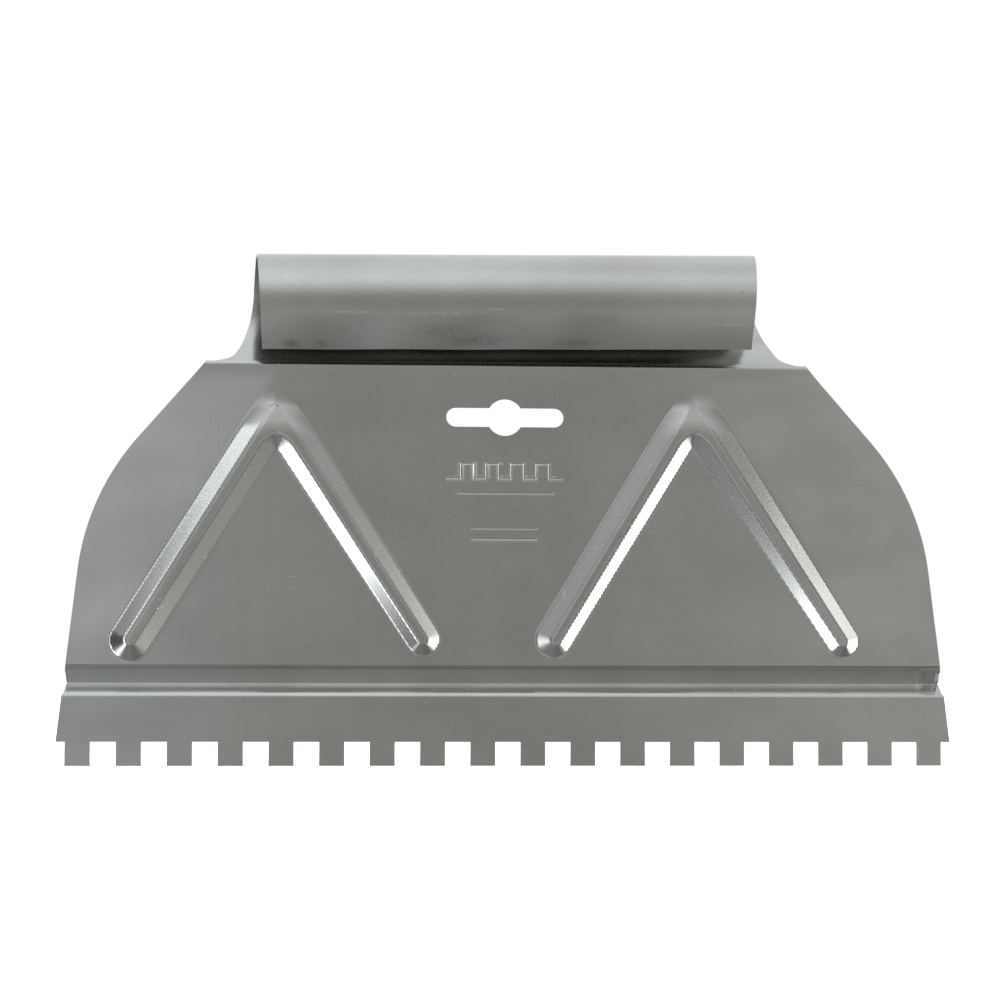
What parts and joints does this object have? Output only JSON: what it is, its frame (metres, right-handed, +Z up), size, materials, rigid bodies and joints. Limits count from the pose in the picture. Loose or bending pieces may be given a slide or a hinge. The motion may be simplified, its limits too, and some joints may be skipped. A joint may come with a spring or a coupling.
{
  "type": "notched spreader",
  "caption": "Hand spreader of sheet steel with a square-notched edge, embossed stiffening ribs and a rolled tube handle.",
  "frame": {"origin": "middle of the toothed edge, level with the tips of the teeth, under the handle's axis", "axes": "+Z up from the teeth to the handle, +X across the tool to the right as seen from the embossed side, -Y towards that side"},
  "size_m": [0.2268, 0.0254, 0.1303],
  "materials": {
    "bright_steel": "bright rolled sheet steel, lightly scuffed"
  },
  "bodies": {
    "root": {"spreader_sheet": "bright_steel"}
  },
  "joints": []
}
